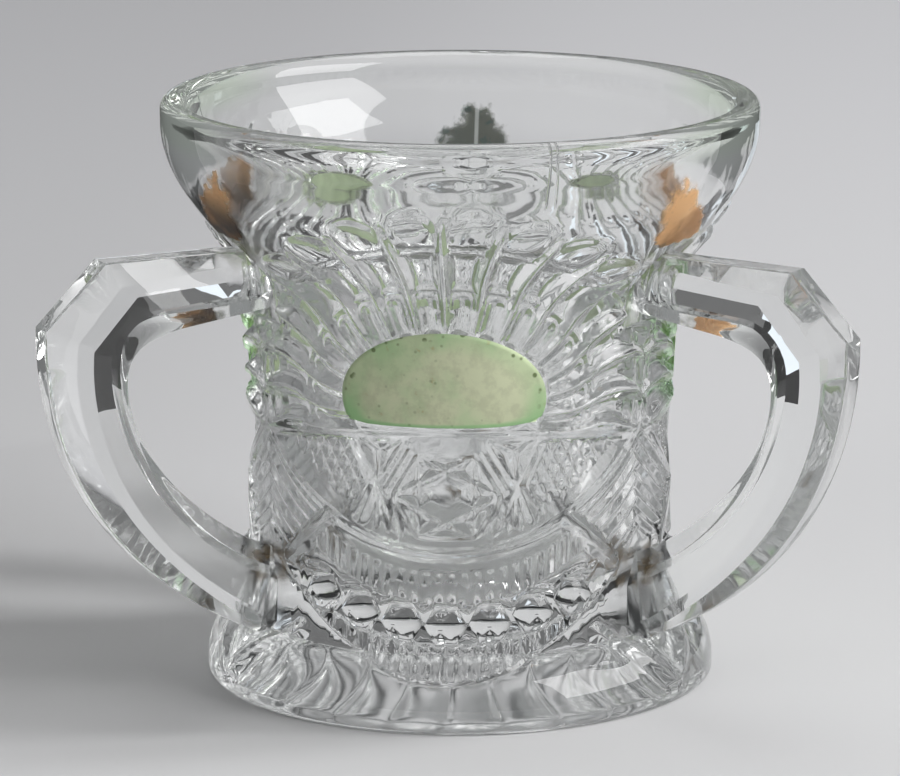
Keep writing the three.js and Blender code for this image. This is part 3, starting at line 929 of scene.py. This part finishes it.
def roundEdges(field, passes):
    for _ in range(passes):
        padded = np.pad(field, ((1, 1), (0, 0)), "edge")
        field = (padded[:-2] + 2 * padded[1:-1] + padded[2:]) / 4
        padded = np.pad(field, ((0, 0), (1, 1)), "reflect")
        field = (padded[:, :-2] + 2 * padded[:, 1:-1] + padded[:, 2:]) / 4
    return field


def normalsOf(points):
    # outward normals of a profile that runs from the underside round to the inside
    along = np.gradient(points, axis=0)
    length = np.hypot(along[:, 0], along[:, 1]) + 1e-9
    return np.stack([along[:, 1] / length, -along[:, 0] / length], 1)


def raysUnder(angle, radius):
    rays, hollow = cup["raysUnder"], cup["hollowRadius"]
    before, after = rays["to"]
    reach = blendIn(radius, *rays["from"]) * (1 - blendIn(radius, hollow - before, hollow + after))
    ray = dome(wave(angle * rays["count"] / (2 * math.pi)) * rays["thinness"])
    return -rays["depth"] * ray * reach


def profileRows():
    # the whole closed profile as one list, with a mark on the rows of the fine band
    low = np.searchsorted(outer[:, 1], panel["reliefFrom"])
    high = np.searchsorted(outer[:, 1], panel["reliefTo"])
    start, end = outerClimb[low], outerClimb[high]
    climbs = np.linspace(start, end, int((end - start) / panel["rowStep"]) + 1)
    fine = np.stack(outerAt(climbs), 1)
    footSteps = outer[:low][::panel["footSkip"]][1:]
    rimSteps = outer[high:][::panel["rimSkip"]][1:]
    under = underProfile()
    points = np.vstack([under, footSteps, fine, rimSteps, insideProfile()])
    marks = np.zeros(len(points), bool)
    first = len(under) + len(footSteps)
    marks[first:first + len(fine)] = True
    climbAll = np.zeros(len(points))
    climbAll[marks] = climbs
    return points, normalsOf(points), marks, climbAll, len(under)


def tileValues():
    # what each point of the tile holds, row by row, with the rows' first points and marks
    points, normals, marks, climbs, underCount = profileRows()
    half = math.pi / panel["count"]
    fineAngles = np.linspace(-half, half, panel["columns"] + 1)
    coarseAngles = fineAngles[::panel["coarsening"]]
    fineRows = np.flatnonzero(marks)
    grid = np.broadcast_arrays(fineAngles[None, :], points[fineRows, 0][:, None],
                               points[fineRows, 1][:, None], climbs[fineRows][:, None])
    relief = roundEdges(panelRelief(*grid), panel["rounding"])
    relief[0] = relief[-1] = 0

    columns = {"angle": [], "radius": [], "height": [], "outward": [], "upward": [], "relief": [], "fine": []}
    starts = [0]
    for number, (point, normal) in enumerate(zip(points, normals)):
        angles = fineAngles if marks[number] else coarseAngles
        lift, inner = 0.0, 0.0
        if marks[number]:
            lift = relief[number - fineRows[0]]
            inner = float(fineRows[0] < number < fineRows[-1])
        elif number < underCount:
            lift = raysUnder(angles, point[0])
        for parts, value in zip(columns.values(), (angles, *point, *normal, lift, inner)):
            parts.append(np.broadcast_to(value, angles.shape).astype(np.float32))
        starts.append(starts[-1] + len(angles))
    return {name: np.concatenate(parts) for name, parts in columns.items()}, starts, marks


def panelTile():
    columns, starts, marks = tileValues()
    step = panel["coarsening"]
    quads, wide = [], []
    for number in range(len(marks) - 1):
        pair = (number, number + 1)
        bothFine = marks[pair, ].all()
        i = np.arange(panel["columns"] // (1 if bothFine else step))[:, None]
        # where a fine row meets a coarse one, a face takes in several of its points
        low, high = (starts[row] + (i * step + np.arange(step + 1) if marks[row] and not bothFine
                                    else i + np.arange(2)) for row in pair)
        faces = quads if marks[number] == marks[number + 1] else wide
        faces.append(np.hstack([low, high[:, ::-1]]))
    # the tile is laid flat, no two of its points in one place, and the tree below wraps it round the axis
    flat = np.stack([columns["angle"], columns["height"] * mm, 0 * columns["angle"]], 1)
    flat[:, 1] += np.arange(len(flat)) * 1e-7
    mesh = meshFrom("panelTile", flat, quads + wide)
    for name, values in columns.items():
        writeValues(mesh, name, values * (mm if name in ("radius", "height", "relief") else 1.0))
    return mesh


def wrapTree(values):
    tree, board, given = newTree("wrapPanels", values)
    line, number = spots(board, given["Panels"])
    marked = board.add("GeometryNodeStoreNamedAttribute", {"data_type": "FLOAT", "domain": "POINT"}, {
        "Geometry": line, "Name": "panel", "Value": number})
    real = copiesOn(board, marked, given["Geometry"])

    def read(name):
        return board.add("GeometryNodeInputNamedAttribute", {"data_type": "FLOAT"}, {"Name": name})

    turn = read("angle") + read("panel") * (2 * math.pi) / given["Panels"]
    lift = read("relief") * given["Relief depth"]
    place = turnedPlace(
        board, read("radius") + lift * read("outward"), turn, read("height") + lift * read("upward"))
    wrapped = board.add("GeometryNodeSetPosition", {}, {"Geometry": real, "Position": place})
    closeTree(board, welded(board, wrapped, given["Weld"]), glass)
    return tree


def thinned(mesh, target):
    # fewer triangles in the fine band, with the rows of the smooth parts kept as they are
    piece = linked("thinning", mesh)
    fine = readValues(mesh.attributes["fine"].data, "value")
    group = piece.vertex_groups.new(name="fine")
    group.add(np.flatnonzero(fine > 0.5).tolist(), 1.0, "REPLACE")
    triangles = int((readValues(mesh.polygons, "loop_total", np.int32) - 2).sum())
    decimate = piece.modifiers.new("thin", "DECIMATE")
    decimate.ratio = target / triangles
    decimate.vertex_group = "fine"
    decimate.vertex_group_factor = 1.0
    return evaluated(piece)


# Handles

handle = {
    "topHeight": 46.3,
    "reach": 46.1,
    "corner": (6.4, 6.3),      # how far the corner is cut back and down
    "edgeHalf": 1.45,          # half thicknesses: at the outer edge,
    "edgeRound": 0.3,
    "edgeTurns": [0, 14, 28, 42, 56, 70],
    "ridgeHalf": 2.5,          # along the ridge of the face,
    "browHalf": 2.0,           # where the rounding to the hole begins
    "noseHalf": 0.25,          # and at the hole
    "nose": [(0.35, 0.60), (0.8, 0.25)],   # pulls of the rounding: shares of its width and thickness
    "noseSteps": 6,
    "stations": (10, 8, 40, 3),            # steps in each part of a path
}


def handlePaths():
    # the outer edge, the ridge of the face, the brow of the hole and the hole, in (reach, height)
    top = handle["topHeight"]
    reach = handle["reach"]
    cutBack, cutDown = handle["corner"]
    edge = [(22.9, top)], [(reach - cutBack, top)], [(reach, top - cutDown)], [
        (reach + 0.4, 29.5), (reach - 4.3, 15.4), (24.4, 7.1)], [(21.6, 5.6)]
    ridge = [(20.6, 43.9)], [(36.7, 42.8)], [(41.4, 37.7)], [
        (42.1, 30.5), (39.0, 18.6), (24.4, 9.2)], [(21.2, 7.6)]
    brow = [(20.6, 42.1)], [(33.5, 41.0)], [(37.2, 40.6), (38.7, 38.3), (38.75, 35.0)], [
        (38.8, 28.5), (34.6, 19.0), (24.3, 13.4)], [(20.2, 11.4)]
    hole = [(20.6, 40.1)], [(31.0, 38.7)], [(35.2, 38.0), (37.0, 36.6), (37.0, 33.6)], [
        (36.9, 27.4), (32.3, 21.2), (24.2, 16.4)], [(19.6, 14.4)]
    # each part of a path is a curve from the end of the part before it
    return [np.vstack([path[0]] + [bezier([before[-1], *part], count)[1:] for before, part, count
                                   in zip(path, path[1:], handle["stations"])])
            for path in (edge, ridge, brow, hole)]


def handleSection(edge, crest, bend, tip):
    # one side of the section: (place, half thickness) from the outer edge to the hole
    inward = (crest - edge) / np.hypot(*(crest - edge))
    soft = handle["edgeRound"]
    halves = [(edge + inward * soft * (1 - math.cos(turn)), handle["edgeHalf"] - soft * (1 - math.sin(turn)))
              for turn in np.radians(handle["edgeTurns"])]
    halves += [(crest, handle["ridgeHalf"]), (bend, handle["browHalf"])]
    drop = handle["browHalf"] - handle["noseHalf"]
    pulls = [(*(bend + (tip - bend) * away), handle["noseHalf"] + drop * share)
             for away, share in handle["nose"]]
    rounding = [(*bend, handle["browHalf"]), *pulls, (*tip, handle["noseHalf"])]
    return halves + [(row[:2], row[2]) for row in bezier(rounding, handle["noseSteps"])[1:]]


def handleMesh():
    rings = []
    for section in zip(*handlePaths()):
        halves = handleSection(*section)
        ring = [(place[0], -side, place[1]) for place, side in halves]
        ring += [(place[0], side, place[1]) for place, side in reversed(halves)]
        rings.append(ring)
    points = np.array(rings) * mm
    stations, around = points.shape[:2]
    capStart = np.arange(around)[None, ::-1]
    capEnd = (stations - 1) * around + np.arange(around)[None, :]
    return meshFrom("handleBlank", points.reshape(-1, 3), [ringFaces(stations, around), capStart, capEnd])


def ringTree(values):
    tree, board, given = newTree("ringOfHandles", values)
    line, number = spots(board, given["Count"])
    turn = given["First angle"] + number * (2 * math.pi) / given["Count"]
    turned = board.add("ShaderNodeCombineXYZ", {}, {"Z": turn})
    closeTree(board, copiesOn(board, line, given["Geometry"], Rotation=turned), glass)
    return tree


# Jewels: one cut bead, set in rows along the apron of each panel


def jewelMesh():
    (wide, tall), corner, levels = jewel["half"], jewel["corner"], jewel["levels"]
    corners = [(1, 0), (corner, 1), (-corner, 1), (-1, 0), (-corner, -1), (corner, -1)]
    points = [(x * wide * share, lift, z * tall * share) for lift, share in levels for x, z in corners]
    sides = len(corners)
    quads = ringFaces(len(levels), sides)[:, [1, 0, 3, 2]]
    capLow = np.arange(sides)[None, :]
    capHigh = (len(levels) - 1) * sides + np.arange(sides)[None, ::-1]
    return meshFrom("jewelBead", np.array(points) * mm, [quads, capLow, capHigh])


def jewelTree(values):
    tree, board, given = newTree("jewelRows", values)
    line, number = spots(board, given["Panels"] * given["Jewels"])
    row = (number / given["Jewels"] + 0.0001).floor()
    across = (number - row * given["Jewels"] - (given["Jewels"] - 1) / 2) * given["Pitch"]
    turn = across / given["Radius"] + row * (2 * math.pi) / given["Panels"]
    lift = given["Height"] + across * across * given["Rise"]
    place = turnedPlace(board, given["Radius"], turn, lift)
    seats = board.add("GeometryNodeSetPosition", {}, {"Geometry": line, "Position": place})
    facing = board.add("ShaderNodeCombineXYZ", {}, {"Z": turn + math.pi})
    closeTree(board, copiesOn(board, seats, given["Geometry"], Rotation=facing), glass)
    return tree


# The glass: cup, handles and jewels as one closed skin

shading = {
    "smooth": 50.0,       # degrees of bend up to which the pattern is shaded smooth,
    "facets": 14.0,       # and the handles
    "beyond": 1.2,        # mm from the cup where a handle begins
    "below": 47.0,
}


def fused(mesh, *others):
    piece = linked("fusing", mesh)
    tools = [linked(other.name, other) for other in others]
    for tool in tools:
        modifier = piece.modifiers.new("join", "BOOLEAN")
        modifier.operation = "UNION"
        modifier.solver = "MANIFOLD"
        modifier.object = tool
    return evaluated(piece, *tools)


def triangulated(mesh):
    work = bmesh.new()
    work.from_mesh(mesh)
    loose = [edge for edge in work.edges if not edge.link_faces]
    bmesh.ops.delete(work, geom=loose, context="EDGES")
    work.to_mesh(mesh)
    work.free()
    piece = linked("triangles", mesh)
    piece.modifiers.new("triangles", "TRIANGULATE")
    return evaluated(piece)


def edgeBends(mesh):
    # the bend at each edge in degrees, 0 where it doesn't part two faces
    count = len(mesh.edges)
    normals = readValues(mesh.polygons, "normal", width=3)
    loopEdges = readValues(mesh.loops, "edge_index", np.int32)
    faces = np.repeat(np.arange(len(mesh.polygons)), readValues(mesh.polygons, "loop_total", np.int32))
    order = np.argsort(loopEdges, kind="stable")
    first = np.searchsorted(loopEdges[order], np.arange(count))
    shared = np.bincount(loopEdges, minlength=count) == 2
    one, other = faces[order[first[shared]]], faces[order[first[shared] + 1]]
    bend = np.zeros(count)
    bend[shared] = np.degrees(np.arccos(np.clip((normals[one] * normals[other]).sum(1), -1, 1)))
    return bend


def shadeEdges(mesh):
    # facets of the handles stay crisp, and the rounded pattern is shaded smooth
    mesh.shade_smooth()
    place = readValues(mesh.vertices, "co", width=3)
    reach, height = np.hypot(place[:, 0], place[:, 1]) / mm, place[:, 2] / mm
    onHandle = (reach > radiusAt(height) + shading["beyond"]) & (height < shading["below"])
    ends = readValues(mesh.edges, "vertices", np.int32, 2)
    limit = np.where(onHandle[ends].all(1), shading["facets"], shading["smooth"])
    sharp = mesh.attributes.get("sharp_edge") or mesh.attributes.new("sharp_edge", "BOOLEAN", "EDGE")
    sharp.data.foreach_set("value", edgeBends(mesh) > limit)


def makeGlassBody():
    wrapped = runTree(panelTile(), wrapTree, {"Panels": panel["count"], "Relief depth": 1.0, "Weld": weld})
    print("cup wrapped:", len(wrapped.vertices), "points")
    body = thinned(wrapped, panel["triangles"])
    print("cup thinned:", len(body.polygons), "faces")
    handles = runTree(handleMesh(), ringTree, {"Count": panel["count"], "First angle": -math.pi / 6})
    jewels = runTree(jewelMesh(), jewelTree, {
        "Panels": panel["count"], "Jewels": jewel["count"], "Pitch": jewel["pitch"] * mm,
        "Radius": float(radiusAt(jewel["height"])) * mm, "Height": jewel["height"] * mm,
        "Rise": jewel["rise"] / mm})
    made = triangulated(fused(body, handles, jewels))
    shadeEdges(made)
    print("glass fused:", len(made.polygons), "triangles")
    made.name = "glass_holder"
    return addPiece("glass_holder", made, "glass", "foot", "cup_body", "flared_rim",
                    "handle_right", "handle_back", "handle_left")


makeGlassBody()

# Stained suns and worn gilding: thin films that follow the glass

film = {
    "gap": 0.03,
    "thickness": 0.06,
    "margin": 0.05,
    "rings": 22,
    "around": 96,
    "probe": 0.2,              # how far to each side the slope of the cup is measured
    "corners": (9.0, 4.0),     # how square the stain's left and right corners are
    "centreDrop": 1.3,         # from the sun's middle down to the stain's
    "offHorizon": 0.3,
    "frontTurn": -0.016,       # the front stain sits a little to the left
    "edge": (0.55, 1.0),
}


def surfacePoint(angle, climb, lift):
    radius, height = outerAt(climb)
    ahead, rise = np.subtract(outerAt(climb + film["probe"]), outerAt(climb - film["probe"]))
    length = np.hypot(ahead, rise)
    reach = radius + lift * rise / length
    return np.stack([reach * np.sin(angle), -reach * np.cos(angle), height - lift * ahead / length], -1) * mm


def filmGrid():
    # shares of the way out and turns round the middle
    share = np.linspace(0, 1, film["rings"])[:, None]
    return share, np.linspace(0, 2 * math.pi, film["around"], endpoint=False)[None, :]


def weldTree(values, material):
    tree, board, given = newTree("weld", values)
    closeTree(board, welded(board, given["Geometry"], given["Weld"]), material)
    return tree


def addFilm(name, x, climb, lift, turn, values, look):
    # x, climb and lift are (rings, around) arrays that run from the middle out
    angle = x / outerAt(climb)[0] + turn
    rings, around = x.shape
    points = [surfacePoint(angle, climb, lift + offset).reshape(-1, 3)
              for offset in (film["gap"] + film["thickness"], film["gap"])]
    upper = ringFaces(rings, around)
    under = rings * around
    last = (rings - 1) * around + np.arange(around)
    following = np.roll(last, -1)
    rim = np.stack([last + under, following + under, following, last], 1)
    mesh = meshFrom(name, np.vstack(points), [upper[:, ::-1], upper + under, rim])
    for valueName, value in values.items():
        writeValues(mesh, valueName, np.tile(value.ravel(), 2))
    material, slot, node = look
    mesh = runTree(mesh, weldTree, {"Weld": weld}, material)
    mesh.shade_smooth()
    return addPiece(name, mesh, slot, node)


def makeSunStain(side, turn):
    share, around = filmGrid()
    centre = sun["height"] - film["centreDrop"]
    low = horizonLine["height"] + film["offHorizon"]
    # the way out from the middle to the edge of the sun or the horizon, whichever is nearer
    dx, dy = np.cos(around), np.sin(around)
    a = sun["halfWidth"] - film["margin"]
    b = sun["halfHeight"] - film["margin"]
    off = centre - sun["height"]
    qa = (dx / a) ** 2 + (dy / b) ** 2
    qb = 2 * off * dy / b ** 2
    qc = (off / b) ** 2 - 1
    reach = (-qb + np.sqrt(qb ** 2 - 4 * qa * qc)) / (2 * qa)
    down = np.where(dy < 0, (centre - low) / np.maximum(-dy, 1e-6), 1e6)
    # the corners on the horizon are rounded, the right one more
    left, right = film["corners"]
    corner = left + (right - left) * (dx + 1) / 2
    reach = (reach ** -corner + down ** -corner) ** (-1 / corner)
    x = share * reach * dx
    climb = climbAt(centre + share * reach * dy)
    ring, _ = sunRings(np.abs(x), climb - climbAt(sun["height"]))
    edge = blendIn(share * np.ones_like(x), *film["edge"])
    look = (stain, "green_stain", "sun_stain_" + side)
    return addFilm("stained_sun_" + side, x, climb, sunLift(ring), turn, {"edge": edge}, look)


sideGilt = {
    "low": 47.4,
    "high": 58.0,
    "half": 5.2,
    "narrowing": 0.25,
    "forward": 1.0,       # degrees that the patch sits towards the front
    "lean": 12.0,         # and that its top leans that way
    "shadedBack": 0.0,
}
backGilt = {
    "low": 46.9,
    "high": 55.0,
    "half": 7.6,
    "narrowing": 0.5,
    "forward": 0.0,
    "lean": 0.0,
    # the back patch is painted in shade: dark green and not metallic
    "shadedBack": 1.0,
}
giltEdge = {"base": 1.5, "lobes": (5, 0.06), "teeth": (11, 0.05), "shoulders": 1.25, "lift": 0.02}


def makeGiltPatch(side, turn, front, patch):
    # a mound of worn gilding that rises from the handle's top
    share, around = filmGrid()
    turn = turn + math.radians(patch["forward"]) * front
    low = float(climbAt(patch["low"]))
    high = float(climbAt(patch["high"]))
    start = low + giltEdge["base"]
    (lobes, lobeDepth), (teeth, toothDepth) = giltEdge["lobes"], giltEdge["teeth"]
    ragged = 1 - lobeDepth * np.sin(around * lobes + turn) ** 2 - toothDepth * np.sin(around * teeth + 2)
    up = np.sin(around)
    rise = np.where(up > 0, (high - start) * np.abs(up) ** giltEdge["shoulders"], (start - low) * up)
    aside = share * patch["half"] * np.cos(around) * (1 - patch["narrowing"] * np.clip(up, 0, 1)) * ragged
    climb = start + share * rise * ragged
    grown = np.clip((climb - low) / (high - low), 0, 1)
    lean = math.radians(patch["lean"] * front) * outerAt(climb)[0] * grown
    even = np.ones_like(aside)
    values = {"edge": share ** 2 * even, "shadedBack": patch["shadedBack"] * even, "aside": aside}
    look = (gilt, "worn_gilt", "gilt_" + side)
    return addFilm("worn_gilt_" + side, aside + lean, climb, giltEdge["lift"] * even, turn, values, look)


third = 2 * math.pi / panel["count"]
for side, turn in (("front", film["frontTurn"]), ("right", third), ("left", -third)):
    makeSunStain(side, turn)
for side, steps, front, patch in (
        ("right", 0.5, -1, sideGilt), ("back", 1.5, 0, backGilt), ("left", -0.5, 1, sideGilt)):
    makeGiltPatch(side, third * steps, front, patch)
print("stains and gilding made")

# Floor, world and lamps, in metres

room = {
    "floorSize": 6.0,
    # painted shade: the table's colour is lighter near the camera and darker far back
    "near": (0.65, 0.65, 0.6565),
    "far": (0.61, 0.61, 0.6283),
    "left": (0.85, 0.85, 0.85),     # painted shade: the table's colour is darker on the left
    "shadeFarFrom": (-120.0, 500.0),     # mm
    "shadeLeftOf": (-75.0, 10.0),
    "ambient": 0.11,                # what matt surfaces receive from above
    "horizon": 0.43,                # and from the sides
    "evenTo": (0.0, 0.35),
    "walls": 0.21,                  # what the glass shows of the room: the walls,
    "backWall": 0.14,               # the dark doorway behind the table
    "doorway": ((0.62, 0.82), (0.20, 0.30)),   # how it fades in backwards and out upwards
    "ceiling": 0.66,
    "ceilingFrom": (0.26, 0.75),
}


def sheet(name, corners, material):
    mesh = meshFrom(name, np.array(corners), [np.array([[0, 1, 2, 3]])])
    mesh.materials.append(material)
    return linked(name, mesh)


def makeFloor():
    material, board = newMaterial("paleTable")
    place, across, depth, _ = board.places()
    # painted shade: the table's colour darkens farther back and on the left
    colour = board.mixColours(depth.ramp(*room["shadeFarFrom"]), room["near"], room["far"])
    left = board.mixColours(across.ramp(*room["shadeLeftOf"]), room["left"], (1, 1, 1))
    colour = board.mixColours(1.0, colour, left, "MULTIPLY")
    grain = board.bump(board.noise(place, 900.0, 3.0), 0.1, 0.0001)
    board.close(board.surface(colour, 0.6, Normal=grain, Specular_IOR_Level=0.3))
    half = room["floorSize"] / 2
    corners = [(-half, -half, 0), (half, -half, 0), (half, half, 0), (-half, half, 0)]
    floor = sheet("floor", corners, material)


def makeWorld():
    world = bpy.data.worlds.new("studio")
    bpy.context.scene.world = world
    world.use_nodes = True
    board = Board(world.node_tree)
    _, _, back, up = board.places("Generated", 1)
    matt = board.add("ShaderNodeLightPath", out="Is Diffuse Ray")
    backwards, upwards = room["doorway"]
    doorway = back.ramp(*backwards) * (1 - up.ramp(*upwards))
    low = room["walls"] - (room["walls"] - room["backWall"]) * doorway
    seen = low + (room["ceiling"] - low) * up.ramp(*room["ceilingFrom"])
    even = room["ambient"] + (room["horizon"] - room["ambient"]) * (1 - up.size().ramp(*room["evenTo"]))
    sky = board.add("ShaderNodeBackground", {}, {
        "Color": (0.98, 0.99, 1.0), "Strength": matt * even + (1 - matt) * seen})
    board.add("ShaderNodeOutputWorld", {}, {"Surface": sky})


lamps = {
    "window": {"azimuth": 72, "elevation": 28, "distance": 1.5, "size": (1.15, 1.05), "power": 18.5},
    "side": {"azimuth": 97, "elevation": 27, "distance": 1.5, "size": (0.30, 0.30), "power": 16.0},
    "front": {"azimuth": -30, "elevation": 30, "distance": 1.5, "size": (0.8, 0.8), "power": 2.2},
    "overhead": {"azimuth": 180, "elevation": 74, "distance": 1.4, "size": (0.9, 0.7), "power": 3.5},
}
mattLamps = ("side", "front")   # these light the table and the films, and aren't mirrored
lampTarget = Vector((0, 0, 0.03))


def direction(azimuth, elevation):
    # azimuth runs from the camera's side, -Y, round towards +X
    turn, lift = math.radians(azimuth), math.radians(elevation)
    return Vector((math.sin(turn) * math.cos(lift), -math.cos(turn) * math.cos(lift), math.sin(lift)))


def makeLamp(name, values):
    light = bpy.data.lights.new(name + "Lamp", "AREA")
    light.shape = "RECTANGLE"
    light.size, light.size_y = values["size"]
    light.energy = values["power"]
    lamp = linked(name + "Lamp", light)
    way = direction(values["azimuth"], values["elevation"])
    lamp.location = way * values["distance"] + lampTarget
    lamp.rotation_euler = (-way).to_track_quat("-Z", "Y").to_euler()
    if name in mattLamps:
        lamp.visible_glossy = False
        lamp.visible_transmission = False


# Cards on the table, which only the glass shows: dark flags, and glints of a window
flags = {
    "left": {"place": (-0.095, 0.069), "facing": -144, "width": 0.10, "low": 0.0005, "high": 0.072},
    "right": {"place": (0.094, 0.080), "facing": 140, "width": 0.10, "low": 0.0005, "high": 0.072},
}
glints = {
    "right": {"place": (0.0635, 0.1015), "facing": 163, "width": 0.025, "low": 0.012, "high": 0.040},
    "left": {"place": (-0.105, 0.47), "facing": -171, "width": 0.05, "low": 0.085, "high": 0.11},
}


def makeCard(name, values, material):
    way = direction(values["facing"], 0)
    side = Vector((-way.y, way.x, 0)) * values["width"] / 2
    low, high = (Vector((*values["place"], values[end])) for end in ("low", "high"))
    card = sheet(name, [low - side, low + side, high + side, high - side], material)
    card.visible_camera = False
    card.visible_shadow = False
    card.visible_diffuse = False


def makeCards():
    black, board = newMaterial("blackCard")
    board.close(board.surface((0.01, 0.01, 0.01), 0.9))
    bright, board = newMaterial("windowCard")
    board.close(board.light((0.86, 0.93, 1.0), 1.1))
    for kind, cards, material in (("Flag", flags, black), ("Glint", glints, bright)):
        for name, values in cards.items():
            makeCard(name + kind, values, material)


makeFloor()
makeWorld()
for name, values in lamps.items():
    makeLamp(name, values)
makeCards()
print("studio made")
